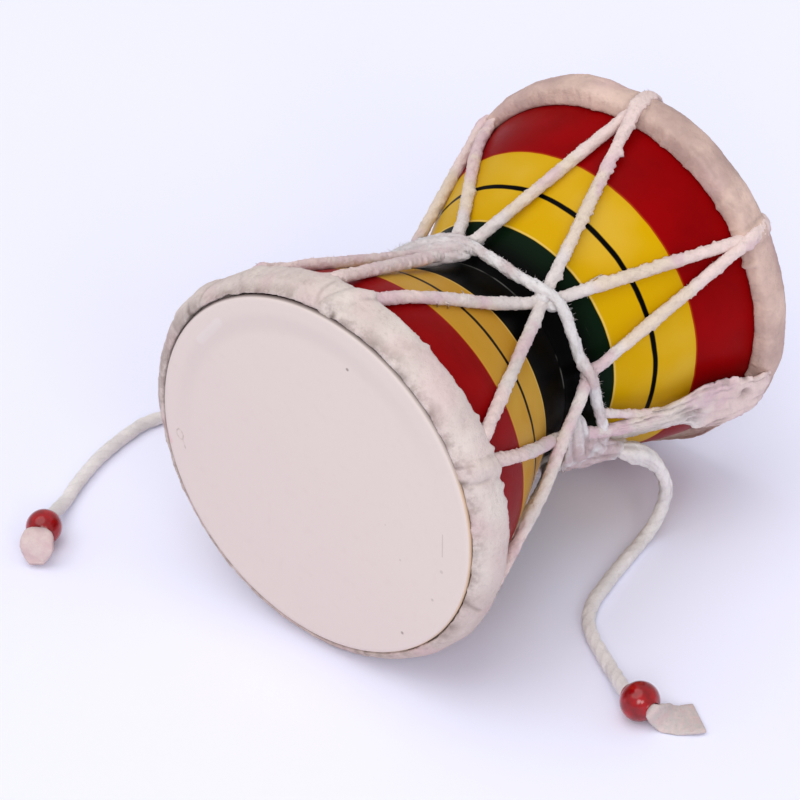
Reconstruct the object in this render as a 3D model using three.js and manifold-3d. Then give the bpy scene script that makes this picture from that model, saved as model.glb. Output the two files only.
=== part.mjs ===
import * as THREE from "three";
import { mergeVertices } from "three/addons/utils/BufferGeometryUtils.js";
import Module from "manifold-3d";

const wasm = await Module();
wasm.setup();

// Millimetres. The drum lies on its side: its axis runs along Y, the front head faces -Y,
// +Z is up and the floor is the flat under both hoops.
const skinRadius = 45;
const skinThickness = 1.5;
const halfLength = 60.2;
const shellHalfLength = 58.4;
const waistRadius = 26.3;
const rimRadius = 44.5;
const profileReach = 58.5;
const profilePower = 0.8;
const rimWall = 4;
const waistWall = 9;
const segments = 56;
const axisHeight = 48.3;
const cordRadius = 1.6;
const cordSides = 8;
const lacingSides = 6;
const beadRadius = 4.5;
const beadLength = 8.6;
const beadHole = 1.95;

// Section of a hoop: distance behind the skin's face, and radius.
const hoopSection = [
  [0.6, 45.6], [1.5, 46.8], [4, 48.5], [5.5, 48.8], [9, 48.8],
  [10.3, 47.8], [10.6, 46], [10.3, 44.7], [2, 45.4],
];

// Where the cord leaves each hole, in degrees from +X towards +Z: the place on the hoop's
// waist side, the place on its outer side, and the under strand that arrives beside it.
const holes = {
  F1: [80.5, 85.5, 92.5], F2: [22.3, 25.3, 31], F3: [322.5, 325, 328.5], F4: [297.5, 299.5, 299],
  F5: [242, 244, 243.5], F6: [180, 182, 181.5], F7: [117.5, 120.5, 120],
  B1: [81.9, 83.6, 83.2], B2: [32, 33, 32.6], B3: [337.6, 339.5, 339], B4: [296.5, 298.5, 298],
  B5: [243, 245, 244.5], B6: [193, 195, 194.5], B7: [140.5, 143.5, 143],
};

// Each run of the lacing: over one hoop, through the waist (angle, along, radius), and under
// the hoop at the other end.
const runs = [
  ["F1", "B2", [[57.9, -4.9, 29.6], [49.7, 5.9, 29.8]]],
  ["F2", "B3", [[339.8, -0.2, 29.3], [333.4, 12, 31.7]]],
  ["F3", "B4", [[315, -4, 29.4], [311, 4, 29.4]]],
  ["F4", "B5", [[274, -4, 29.4], [266, 4, 29.4]]],
  ["F5", "B6", [[217, -4, 29.4], [211, 4, 29.4]]],
  ["F6", "B7", [[162, -4, 29.4], [156.5, 4, 29.4]]],
  ["F7", "B1", [[108, -6.1, 30.2], [99.5, 5, 29.8]]],
  ["B1", "F2", [[57.2, 5.2, 30.2], [48.5, -4.9, 30.2]]],
  ["B2", "F3", [[11.4, 3.6, 29.3], [352.4, -3.1, 29.6]]],
  ["B3", "F4", [[316, 4, 30.2], [310, -4, 30.2]]],
  ["B4", "F5", [[274, 4, 30.2], [266, -4, 30.2]]],
  ["B5", "F6", [[219, 4, 30.2], [209, -4, 30.2]]],
  ["B6", "F7", [[163, 4, 30.2], [155, -4, 30.2]]],
  ["B7", "F1", [[114.2, 9.1, 30.9], [102.4, -3.6, 29.9]]],
];

// The cord drawn round the waist: angle, along, radius.
const waistRoute = [
  [106, 0.5, 34.4], [92, 0.7, 32], [68, 1, 32], [53.5, 1.3, 34.1], [41, 1.7, 31.8],
  [27, 2, 31.2], [12.5, 3.3, 33.2], [0, 5.5, 32.4], [347, 8, 32.8], [336, 9, 34.8],
  [323, 7.6, 35.1], [313, 3.5, 34.4], [292, 1.5, 31.7], [270, 0, 34.2], [242, 0, 31],
  [214, 0, 34.2], [187, 0, 31.4], [159, 0.5, 34.2], [132, 0.5, 31.2],
];
const knotRight = [327.5, 10.2, 34.8];
const knotLeft = [188, 0, 32.6];
const knotRadius = 2.7;

// The two strikers, in millimetres from the point of the floor under the middle of the drum.
const rightRoute = [
  [31.7, 12.7, 30.1], [34.4, 15.6, 29.2], [36.4, 19.2, 26.4], [37.6, 22.8, 21], [37.9, 25, 15],
  [37.2, 25, 9.4], [36.4, 23, 4.6], [36.2, 18.6, 1.9], [37.1, 12.6, 1.65], [38.3, 5.6, 1.65],
  [39.7, -1.6, 1.65], [41.6, -8.6, 1.65], [44.6, -14, 1.65], [49.1, -18.4, 1.65],
  [54.6, -22.2, 1.65], [60.2, -25.9, 1.9], [64.8, -29.3, 3.1], [69, -32.2, 4.4],
  [73.2, -33.1, 4.5], [76.4, -33.8, 4.5],
];
const leftRoute = [
  [-35.7, 0, 43.3], [-40.5, -0.2, 42.2], [-46, -0.8, 38.4], [-50.8, -1.4, 31.5], [-54.4, -1.8, 23],
  [-57.6, -2.2, 14.4], [-61.6, -3, 6.8], [-67.4, -4.4, 2.4], [-74, -6.6, 1.65], [-81, -9.4, 1.65],
  [-86.8, -13.6, 1.65], [-89.6, -19.6, 1.65], [-89.8, -26.6, 1.65], [-89.2, -34, 1.65],
  [-87.6, -42, 1.65], [-85.2, -49.8, 1.65], [-82.2, -57, 1.9], [-80, -62.2, 3.2],
  [-78.15, -66.67, 4.4], [-76.4, -70.6, 4.5], [-74.75, -74.3, 4.5],
];

const wood = new THREE.MeshStandardMaterial({ color: 0x8c1210, roughness: 0.3 });
const hide = new THREE.MeshStandardMaterial({ color: 0xddcfc6, roughness: 0.85 });
const twine = new THREE.MeshStandardMaterial({ color: 0xd8cfcc, roughness: 0.9 });
const lacquer = new THREE.MeshStandardMaterial({ color: 0xa01216, roughness: 0.25 });

// A point on the drum from an angle in degrees, a place along the axis and a radius.
function onDrum(angle, along, radius) {
  const turn = THREE.MathUtils.degToRad(angle);
  return new THREE.Vector3(radius * Math.cos(turn), along, axisHeight + radius * Math.sin(turn));
}

// One closed body with shared corners, facing outward.
function bare(geometry) {
  const body = geometry.clone();
  body.deleteAttribute("normal");
  body.deleteAttribute("uv");
  const merged = mergeVertices(body, 1e-4);
  const p = merged.getAttribute("position");
  const kept = [];
  for (let i = 0; i < merged.index.count; i += 3) {
    const t = [merged.index.getX(i), merged.index.getX(i + 1), merged.index.getX(i + 2)];
    if (t[0] !== t[1] && t[1] !== t[2] && t[0] !== t[2]) kept.push(t);
  }
  let volume = 0;
  for (const [a, b, c] of kept) {
    const va = new THREE.Vector3().fromBufferAttribute(p, a);
    const vb = new THREE.Vector3().fromBufferAttribute(p, b);
    const vc = new THREE.Vector3().fromBufferAttribute(p, c);
    volume += va.dot(vb.cross(vc));
  }
  merged.setIndex(kept.flatMap((t) => (volume < 0 ? [t[0], t[2], t[1]] : t)));
  return merged;
}

function toManifold(geometry) {
  const body = bare(geometry);
  const mesh = new wasm.Mesh({
    numProp: 3,
    vertProperties: new Float32Array(body.getAttribute("position").array),
    triVerts: new Uint32Array(body.index.array),
  });
  mesh.merge();
  return new wasm.Manifold(mesh);
}

function toGeometry(solid) {
  const mesh = solid.getMesh();
  const out = new THREE.BufferGeometry();
  const places = new THREE.BufferAttribute(new Float32Array(mesh.vertProperties), 3);
  out.setAttribute("position", places);
  out.setIndex(Array.from(mesh.triVerts));
  return out;
}

function join(pieces) {
  return pieces.slice(1).reduce((sum, piece) => sum.add(piece), pieces[0]);
}

// A route that an extrusion follows through exactly these points.
class Route extends THREE.Curve {
  constructor(points) {
    super();
    this.points = points;
  }

  getPoint(t) {
    const last = this.points.length - 1;
    const at = Math.min(last, Math.max(0, t * last));
    const i = Math.min(last - 1, Math.floor(at));
    return this.points[i].clone().lerp(this.points[i + 1], at - i);
  }

  getSpacedPoints() {
    return this.points.map((point) => point.clone());
  }

  getTangentAt(u, target = new THREE.Vector3()) {
    const last = this.points.length - 1;
    const i = Math.round(u * last);
    const into = this.points[Math.max(1, i)].clone().sub(this.points[Math.max(1, i) - 1]);
    const next = Math.min(last, i + 1);
    const away = this.points[next].clone().sub(this.points[next - 1]);
    return target.copy(into.normalize().add(away.normalize()).normalize());
  }
}

function tube(points, sides) {
  const outline = new THREE.Shape();
  for (let i = 0; i < sides; i += 1) {
    const turn = (2 * Math.PI * i) / sides;
    const x = cordRadius * Math.cos(turn);
    const y = cordRadius * Math.sin(turn);
    if (i === 0) outline.moveTo(x, y);
    else outline.lineTo(x, y);
  }
  outline.closePath();
  const options = { steps: points.length - 1, extrudePath: new Route(points) };
  return new THREE.ExtrudeGeometry(outline, { ...options, bevelEnabled: false });
}

function shellRadius(along) {
  const share = Math.min(1, Math.abs(along) / profileReach);
  const rise = Math.sin((Math.PI / 2) * share ** profilePower) ** 2;
  return waistRadius + (rimRadius - waistRadius) * rise;
}

// The hourglass shell, turned from one block and open at both ends.
function shellGeometry() {
  const outer = [-58.4, -50, -40.5, -31.5, -23.5, -15.5, -8.5, -3];
  const inner = [-58.4, -40, -20];
  const places = [...outer, 0, ...outer.slice().reverse().map((y) => -y)];
  const bores = [...inner, 0, ...inner.slice().reverse().map((y) => -y)];
  const wall = (y) => rimWall + (waistWall - rimWall) * (1 - Math.abs(y) / shellHalfLength) ** 1.5;
  const out = places.map((y) => new THREE.Vector2(shellRadius(y), y));
  const back = bores.reverse().map((y) => new THREE.Vector2(shellRadius(y) - wall(y), y));
  return new THREE.LatheGeometry([...out, ...back, out[0].clone()], segments);
}

function skinGeometry(side) {
  const section = [[0, 0], [43.6, 0], [44.7, 0.35], [45, 0.9], [44.9, skinThickness], [0, skinThickness]];
  const scale = skinRadius / 45;
  const points = section.map(([r, y]) => new THREE.Vector2(r * scale, side * (halfLength - y)));
  return new THREE.LatheGeometry(points, segments);
}

// A hoop wrapped in hide, with the small flat it rests on.
function hoopGeometry(side) {
  const points = hoopSection.map(([y, r]) => new THREE.Vector2(r, side * (halfLength - y)));
  points.push(points[0].clone());
  const ring = toManifold(new THREE.LatheGeometry(points, segments));
  return toGeometry(ring.trimByPlane([0, 0, 1], -axisHeight));
}

// One run of cord: over the hoop at its first hole, tight to the waist, to the far hoop.
function runPoints([from, to, waist]) {
  const start = from[0] === "F" ? -1 : 1;
  const [near, far] = holes[from];
  const over = [
    [-0.35, 47.6, 1], [0.9, 49.2, 0.86], [3, 50.4, 0.68], [5.5, 50.85, 0.46], [9.4, 50.75, 0],
  ];
  const points = over.map(([back, r, share]) => {
    return onDrum(near + (far - near) * share, start * (halfLength - back), r);
  });
  for (const [angle, along, r] of waist) points.push(onDrum(angle, along, r));
  const end = onDrum(holes[to][2], -start * 48.4, 47.8);
  const bearing = points[points.length - 1].clone().lerp(end, 0.62);
  const rise = Math.hypot(bearing.x, bearing.z - axisHeight);
  const lift = Math.max(rise, shellRadius(bearing.y) + cordRadius + 0.35) / rise;
  bearing.x *= lift;
  bearing.z = axisHeight + (bearing.z - axisHeight) * lift;
  points.push(bearing, end);
  return points;
}

function lacingGeometry() {
  return toGeometry(join(runs.map((run) => toManifold(tube(runPoints(run), lacingSides)))));
}

function knot(place) {
  const lump = new THREE.IcosahedronGeometry(knotRadius, 1);
  const at = onDrum(...place);
  return lump.translate(at.x, at.y, at.z);
}

function waistGeometry() {
  const loop = waistRoute.map((place) => onDrum(...place));
  const half = Math.floor(loop.length / 2);
  const first = loop.slice(0, half + 1);
  const second = [...loop.slice(half), loop[0].clone()];
  const pieces = [tube(first, lacingSides), tube(second, lacingSides)];
  for (const i of [0, half]) {
    const ball = new THREE.IcosahedronGeometry(cordRadius * 1.06, 1);
    pieces.push(ball.translate(loop[i].x, loop[i].y, loop[i].z));
  }
  pieces.push(knot(knotRight), knot(knotLeft));
  return toGeometry(join(pieces.map(toManifold)));
}

function routePoints(route) {
  return route.map(([x, y, z]) => new THREE.Vector3(x, y, z));
}

// A drilled bead, threaded on the last stretch of a striker.
function beadGeometry(route) {
  const [middle, to] = routePoints(route).slice(-2);
  const points = [];
  for (let i = 0; i <= 6; i += 1) {
    const y = -beadLength / 2 + (beadLength * i) / 6;
    const bulge = Math.sqrt(Math.max(0, 1 - (y / (beadLength / 2 + 0.35)) ** 2));
    points.push(new THREE.Vector2(Math.max(beadHole + 0.3, beadRadius * bulge), y));
  }
  points.push(new THREE.Vector2(beadHole, beadLength / 2));
  points.push(new THREE.Vector2(beadHole, -beadLength / 2));
  points.push(points[0].clone());
  const bead = new THREE.LatheGeometry(points, 14);
  const aim = to.clone().sub(middle).normalize();
  bead.applyQuaternion(new THREE.Quaternion().setFromUnitVectors(new THREE.Vector3(0, 1, 0), aim));
  return bead.translate(middle.x, middle.y, middle.z);
}

// A hide tab at the end of a striker: its side outline (out from the bead, height), and its
// width by the distance out.
function tabGeometry({ outline, widths, start, heading }) {
  const shape = new THREE.Shape(outline.map(([x, y]) => new THREE.Vector2(x, y)));
  const tab = new THREE.ExtrudeGeometry(shape, { depth: 1, bevelEnabled: false });
  tab.translate(0, 0, -0.5);
  tab.rotateX(Math.PI / 2);
  const p = tab.getAttribute("position");
  for (let i = 0; i < p.count; i += 1) {
    const x = p.getX(i);
    const after = Math.max(1, widths.findIndex(([at]) => at >= x));
    const [x0, w0] = widths[after - 1];
    const [x1, w1] = widths[after];
    p.setY(i, p.getY(i) * (w0 + ((w1 - w0) * (x - x0)) / (x1 - x0)));
  }
  tab.rotateZ(THREE.MathUtils.degToRad(heading));
  return tab.translate(start[0], start[1], 0);
}

const rightTab = {
  outline: [[0, 5.5], [1.2, 4.5], [2.6, 2.4], [3.6, 1.5], [8.6, 1.4], [8.6, 0.05], [2.8, 0.05],
    [1.4, 1.7], [0.3, 3.4]],
  widths: [[0, 3.2], [1.2, 6], [2.8, 8], [3.6, 8.4], [8.7, 10.8]],
  start: [78.3, -31.8],
  heading: 34,
};
const leftTab = {
  outline: [[-0.8, 8.3], [1.4, 7.2], [3.6, 4.4], [4.9, 1.4], [4.8, 0.2], [4, 0.1], [3, 1.1],
    [1.6, 2.9], [0.5, 4.8], [-0.5, 7.2]],
  widths: [[-0.9, 3.2], [0.5, 6.6], [1.6, 7.8], [3.6, 7.8], [4.3, 6.4], [5, 4.2]],
  start: [-74.53, -74.8],
  heading: -66,
};

const group = new THREE.Group();

function place(name, geometry, material) {
  const body = bare(geometry);
  body.computeVertexNormals();
  const mesh = new THREE.Mesh(body, material);
  mesh.name = name;
  group.add(mesh);
  return mesh;
}

const upright = (geometry) => geometry.translate(0, 0, axisHeight);

place("shell", upright(shellGeometry()), wood);
place("head_skin_front", upright(skinGeometry(-1)), hide);
place("head_skin_back", upright(skinGeometry(1)), hide);
place("hoop_front", upright(hoopGeometry(-1)), hide);
place("hoop_back", upright(hoopGeometry(1)), hide);
place("lacing", lacingGeometry(), twine);
place("waist_cord", waistGeometry(), twine);
place("striker_cord_right", tube(routePoints(rightRoute), cordSides), twine);
place("striker_cord_left", tube(routePoints(leftRoute), cordSides), twine);
place("striker_bead_right", beadGeometry(rightRoute), lacquer);
place("striker_bead_left", beadGeometry(leftRoute), lacquer);
place("striker_tip_right", tabGeometry(rightTab), hide);
place("striker_tip_left", tabGeometry(leftTab), hide);

// The drum without its strikers stands with the middle of its box over the origin.
const loose = group.children.filter((mesh) => mesh.name.startsWith("striker_"));
const box = new THREE.Box3();
for (const mesh of group.children) {
  if (!loose.includes(mesh)) box.expandByObject(mesh);
}
const middle = box.getCenter(new THREE.Vector3());
for (const mesh of group.children) mesh.geometry.translate(-middle.x, -middle.y, -box.min.z);

export default group;
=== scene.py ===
import random
from math import atan2, copysign, cos, degrees, exp, hypot, pi, radians, sin, sqrt

import bpy
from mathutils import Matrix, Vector
from mathutils.noise import noise


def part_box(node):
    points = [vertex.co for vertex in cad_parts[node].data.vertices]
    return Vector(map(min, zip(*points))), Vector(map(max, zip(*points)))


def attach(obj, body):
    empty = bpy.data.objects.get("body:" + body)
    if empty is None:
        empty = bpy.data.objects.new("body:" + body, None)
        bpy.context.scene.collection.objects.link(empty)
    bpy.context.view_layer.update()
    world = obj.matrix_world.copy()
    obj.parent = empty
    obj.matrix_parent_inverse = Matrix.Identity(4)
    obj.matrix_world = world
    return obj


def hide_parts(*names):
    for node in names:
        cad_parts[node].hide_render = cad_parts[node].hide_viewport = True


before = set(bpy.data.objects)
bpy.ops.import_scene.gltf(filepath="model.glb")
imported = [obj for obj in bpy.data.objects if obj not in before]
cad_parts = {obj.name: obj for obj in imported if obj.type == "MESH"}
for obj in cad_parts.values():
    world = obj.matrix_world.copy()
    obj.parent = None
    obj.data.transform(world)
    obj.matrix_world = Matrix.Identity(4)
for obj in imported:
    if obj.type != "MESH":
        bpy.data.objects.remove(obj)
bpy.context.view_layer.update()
random.seed(11)
mm = 0.001

# The drum lies along Y with its front head towards -Y; its axis runs through the shell's middle.
shellLow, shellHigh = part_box("shell")
axisX = (shellLow[0] + shellHigh[0]) / 2
axisZ = (shellLow[2] + shellHigh[2]) / 2
drumMiddle = Vector((axisX, 0, axisZ))
drum = {"halfLength": 60.2, "shellHalf": 58.4, "waist": 26.3, "rim": 44.5, "reach": 58.5, "power": 0.8}
floorDrop = 48.3  # the axis above the floor


def onDrum(angle, along, radius):
    turn = radians(angle)
    return drumMiddle + Vector((radius * cos(turn), along, radius * sin(turn))) * mm


def drumRoute(rows, step, closed=False):
    return smoothRoute([onDrum(*row[:3]) for row in rows], step * mm, closed)


def onFloor(x, y, z):
    return Vector((axisX + x * mm, y * mm, axisZ + (z - floorDrop) * mm))


def shellRadius(along):
    share = min(1, abs(along) / drum["reach"])
    return drum["waist"] + (drum["rim"] - drum["waist"]) * sin(pi / 2 * share ** drum["power"]) ** 2


def smoothStep(low, high, value):
    t = min(1, max(0, (value - low) / (high - low)))
    return t * t * (3 - 2 * t)


def nearAngle(angle, other):
    return (angle - other + 180) % 360 - 180


# The way round from one angle to another, in mm at a radius.
def arc(angle, other, radius):
    return radians(nearAngle(angle, other)) * radius


# 1 at the middle of a swelling, fading away over its width.
def bell(gap, width):
    return exp(-(gap / width) ** 2)


def ripple(x, y, z):
    return noise(Vector((x, y, z)))


# The share of its radius that a rounded end keeps: near 0 at the tip and 1 once past the rounding.
def roundedEnd(share, least):
    return sqrt(max(least, 1 - (1 - share) ** 2))


# The values in a table of rows, some share of the way along it.
def alongTable(rows, share):
    at = share * (len(rows) - 1)
    k = min(len(rows) - 2, int(at))
    return [a + (b - a) * (at - k) for a, b in zip(rows[k], rows[k + 1])]


def anyWay(lowest=-1):
    return Vector((random.uniform(-1, 1), random.uniform(-1, 1), random.uniform(lowest, 1)))


def freshStart():
    if bpy.context.object and bpy.context.object.mode != "OBJECT":
        bpy.ops.object.mode_set(mode="OBJECT")
    bpy.ops.object.select_all(action="DESELECT")


# Turns the active piece's faces outwards and shades them smooth.
def smoothOutwards():
    bpy.ops.object.mode_set(mode="EDIT")
    bpy.ops.mesh.select_all(action="SELECT")
    bpy.ops.mesh.normals_make_consistent(inside=False)
    bpy.ops.object.mode_set(mode="OBJECT")
    bpy.ops.object.shade_smooth()


# An even run of points on one smooth curve through the given ones.
def smoothRoute(points, step, closed=False):
    if closed:
        around = [points[-1]] + points + points[:2]
    else:
        around = [points[0] * 2 - points[1]] + points + [points[-1] * 2 - points[-2]]
    dense = []
    for i in range(1, len(around) - 2):
        a, b, c, d = around[i - 1:i + 3]
        ab, bc, cd = ((q - p).length ** 0.5 for p, q in ((a, b), (b, c), (c, d)))
        leave = ((b - a) / ab - (c - a) / (ab + bc) + (c - b) / bc) * bc
        arrive = ((c - b) / bc - (d - b) / (bc + cd) + (d - c) / cd) * bc
        for j in range(20):
            t = j / 20
            dense.append(b * (2 * t ** 3 - 3 * t ** 2 + 1) + leave * (t ** 3 - 2 * t ** 2 + t)
                         + c * (3 * t ** 2 - 2 * t ** 3) + arrive * (t ** 3 - t ** 2))
    dense.append(points[0].copy() if closed else points[-1])
    lengths = [0]
    for p, q in zip(dense, dense[1:]):
        lengths.append(lengths[-1] + (q - p).length)
    count = max(3, round(lengths[-1] / step))
    route = []
    k = 0
    for n in range(count + (0 if closed else 1)):
        want = lengths[-1] * n / count
        while k < len(lengths) - 2 and lengths[k + 1] < want:
            k += 1
        share = (want - lengths[k]) / max(1e-12, lengths[k + 1] - lengths[k])
        route.append(dense[k].lerp(dense[k + 1], share))
    return route


# The camera looks down on the front head from its right.
view = {"place": (0.4328, -0.5593, 0.4798), "turn": (55.224, 0, 39.217), "lens": 163.76, "sensor": 36}
freshStart()
bpy.ops.object.camera_add(
    location=drumMiddle + Vector(view["place"]), rotation=[radians(a) for a in view["turn"]])
camera = bpy.context.object
camera.name = "view"
camera.data.lens = view["lens"]
camera.data.sensor_width = view["sensor"]
bpy.context.scene.camera = camera
print("camera placed")


# Closed rings along a route, for cords and other soft pieces. shape(i, turn) gives a point's place across
# and outwards in mm, and may add how much painted shade it carries.
class Cords:
    def __init__(self):
        self.points = []
        self.faces = []
        self.wraps = []
        self.shades = []

    def sweep(self, route, sides, shape, outward=None, closed=False):
        first = len(self.points)
        count = len(route)
        up = Vector((0, 0, 1))
        travelled = 0
        rows = []
        for i, place in enumerate(route):
            before = route[i - 1] if i or closed else place
            after = route[(i + 1) % count] if i < count - 1 or closed else place
            along = (after - before).normalized()
            if outward:
                up = outward(i, place)
            up = (up - along * up.dot(along)).normalized()
            across = along.cross(up)
            for j in range(sides):
                turn = 2 * pi * j / sides
                side, rise, *shade = shape(i, turn)
                self.points.append(place + (across * side + up * rise) * mm)
                self.shades.append(shade[0] if shade else 0)
            rows.append(travelled)
            if i < count - 1:
                travelled += (route[i + 1] - place).length / mm
        for i in range(count if closed else count - 1):
            after = (i + 1) % count
            low, high = rows[i], rows[i + 1] if i < count - 1 else rows[i] + 0.5
            for j in range(sides):
                k = (j + 1) % sides
                here, there = first + i * sides, first + after * sides
                left, right = j / sides, (j + 1) / sides
                self.faces.append((here + j, here + k, there + k, there + j))
                self.wraps.append(((left, low), (right, low), (right, high), (left, high)))
        if not closed:
            for row, end in ((0, 0), (count - 1, 1)):
                middle = len(self.points)
                self.points.append(route[row].copy())
                self.shades.append(0)
                for j in range(sides):
                    a, b = first + row * sides + j, first + row * sides + (j + 1) % sides
                    self.faces.append((middle, a, b) if end else (middle, b, a))
                    self.wraps.append(((j / sides, rows[row]),) * 3)

    # A loose fibre standing off the surface.
    def hair(self, root, heading, length, thick):
        bend = anyWay()
        route = [root, root + heading * length * 0.5, root + (heading + bend * 0.5) * length]

        def taper(i, turn):
            radius = thick * (1 - 0.4 * i)
            return radius * cos(turn), radius * sin(turn)

        self.sweep(route, 3, taper)

    def piece(self, name):
        mesh = bpy.data.meshes.new(name)
        mesh.from_pydata([tuple(p) for p in self.points], [], self.faces)
        wrap = mesh.uv_layers.new(name="wrap")
        flat = [value for face in self.wraps for pair in face for value in pair]
        wrap.data.foreach_set("uv", flat)
        # Painted shade: how far each point is darkened as shade in creases, folds and hollows.
        paintedShade = mesh.attributes.new("paintedShade", "FLOAT", "POINT")
        paintedShade.data.foreach_set("value", self.shades)
        mesh.validate()
        piece = bpy.data.objects.new(name, mesh)
        bpy.context.scene.collection.objects.link(piece)
        freshStart()
        piece.select_set(True)
        bpy.context.view_layer.objects.active = piece
        smoothOutwards()
        return piece


def awayFromAxis(i, place):
    return Vector((place.x - axisX, 0, place.z - axisZ))


# The two strikers' cords, as places in mm from the middle of the drum, over the floor.
strikers = {
    "radius": 1.62, "sides": 24, "step": 0.45, "pitch": 7.5, "plyDepth": 0.05, "nearFloor": 4,
    "rootRadius": {"right": 2.5, "left": 2.0}, "rootRings": 13, "endRings": 3,
    "hairs": 90, "hairFrom": 1.45, "hairThick": 0.06, "bareEnd": 22, "pathEvery": 9, "diameter": 0.0033,
    "right": [
        (31.7, 12.7, 30.1), (34.4, 15.6, 29.2), (36.4, 19.2, 26.4), (37.6, 22.8, 21), (37.9, 25, 15),
        (37.2, 25, 9.4), (36.4, 23, 4.6), (36.2, 18.6, 1.9), (37.1, 12.6, 1.65), (38.3, 5.6, 1.65),
        (39.7, -1.6, 1.65), (41.6, -8.6, 1.65), (44.6, -14, 1.65), (49.1, -18.4, 1.65),
        (54.6, -22.2, 1.65), (60.2, -25.9, 1.9), (64.8, -29.3, 3.1), (69, -32.2, 4.4),
        (73.2, -33.1, 4.5), (76.4, -33.8, 4.5),
    ],
    "left": [
        (-35.7, 0, 43.3), (-40.5, -0.2, 42.2), (-46, -0.8, 38.4), (-50.8, -1.4, 31.5), (-54.4, -1.8, 23),
        (-57.6, -2.2, 14.4), (-61.6, -3, 6.8), (-67.4, -4.4, 2.4), (-74, -6.6, 1.65), (-81, -9.4, 1.65),
        (-86.8, -13.6, 1.65), (-89.6, -19.6, 1.65), (-89.8, -26.6, 1.65), (-89.2, -34, 1.65),
        (-87.6, -42, 1.65), (-85.2, -49.8, 1.65), (-82.2, -57, 1.9), (-80, -62.2, 3.2),
        (-78.15, -66.67, 4.4), (-76.4, -70.6, 4.5), (-74.75, -74.3, 4.5),
    ],
}


def strikerCord(name, way):
    route = smoothRoute([onFloor(*p) for p in strikers[way]], strikers["step"] * mm)
    rootRadius = strikers["rootRadius"][way]
    last = len(route) - 1
    cords = Cords()

    # Loosely folded near the root, then a round cord of two plies, flat below where it lies on the floor.
    def shape(i, turn):
        run = i * strikers["step"]
        radius = strikers["radius"] + (rootRadius - strikers["radius"]) * (1 - smoothStep(3, 16, run))
        end = min(1, (last - i) / strikers["endRings"], (i + 1) / strikers["rootRings"])
        radius *= roundedEnd(end, 0.05)
        spin = turn + 2 * pi * run / strikers["pitch"]
        radius *= 1 + strikers["plyDepth"] * (abs(cos(spin)) * 2 - 1)
        fold = ripple(cos(turn) * 1.6, sin(turn) * 1.6, run * 0.07 + rootRadius)
        radius *= 1 + (0.12 + 0.2 * (1 - smoothStep(6, 30, run))) * fold
        place = route[i] / mm + Vector((cos(turn), sin(turn), 0)) * 2
        radius *= 1 + 0.07 * noise(place * 0.35) + 0.045 * noise(place * 1.3)
        floorGap = (route[i].z - axisZ) / mm + floorDrop
        rise = radius * sin(turn)
        if floorGap < strikers["nearFloor"]:
            rise = max(rise, -floorGap + 0.03)
        # Painted shade darkens the creases between the folds near the root.
        shade = 1.4 * max(0, -fold - 0.12) * (1 - smoothStep(14, 34, run))
        return radius * cos(turn), rise, shade

    cords.sweep(route, strikers["sides"], shape)
    for _ in range(strikers["hairs"]):
        i = random.randrange(6, last - strikers["bareEnd"])
        heading = anyWay(-0.2).normalized()
        length = random.uniform(0.25, 0.6) * mm
        cords.hair(route[i] + heading * strikers["hairFrom"] * mm, heading, length, strikers["hairThick"])
    return cords.piece(name), route


rightCord, rightRoute = strikerCord("strikerCordRight", "right")
leftCord, leftRoute = strikerCord("strikerCordLeft", "left")
print("striker cords laid")


# A closed section turned about an axis. Each point is (out, along) in mm.
def turned(name, section, centre, axis, side, steps):
    freshStart()
    bpy.ops.mesh.primitive_circle_add(
        vertices=len(section), radius=0.01, fill_type="NOTHING", location=(0, 0, 0))
    piece = bpy.context.object
    piece.name = name
    for vertex, (out, along) in zip(piece.data.vertices, section):
        vertex.co = centre + (axis * along + side * out) * mm
    bpy.ops.object.mode_set(mode="EDIT")
    bpy.ops.mesh.select_all(action="SELECT")
    bpy.ops.mesh.spin(steps=steps, angle=2 * pi, center=centre, axis=axis)
    bpy.ops.mesh.select_all(action="SELECT")
    bpy.ops.mesh.remove_doubles(threshold=0.000002)
    bpy.ops.mesh.delete_loose(use_verts=True, use_edges=True, use_faces=False)
    smoothOutwards()
    return piece


def turnedOnDrum(name, section, steps):
    return turned(name, section, drumMiddle, Vector((0, 1, 0)), Vector((1, 0, 0)), steps)


beads = {
    "right": 4.7, "left": 4.35,
    "length": 8.7, "hole": 1.8, "lip": 0.25, "bevel": 0.5, "fullness": 0.92, "rings": 36, "steps": 64,
}


def bead(name, way):
    before, end = [onFloor(*p) for p in strikers[way][-2:]]
    aim = (end - before).normalized()
    half = beads["length"] / 2
    section = []
    for i in range(beads["rings"] + 1):
        turn = pi * i / beads["rings"]
        out = beads[way] * sin(turn) ** beads["fullness"]
        section.append((max(beads["hole"] + beads["lip"], out), -half * cos(turn)))
    section += [(beads["hole"], along) for along in (half - beads["bevel"], 0, beads["bevel"] - half)]
    return turned(name, section, before, aim, aim.orthogonal().normalized(), beads["steps"])


rightBead = bead("strikerBeadRight", "right")
leftBead = bead("strikerBeadLeft", "left")
print("beads turned")


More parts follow.
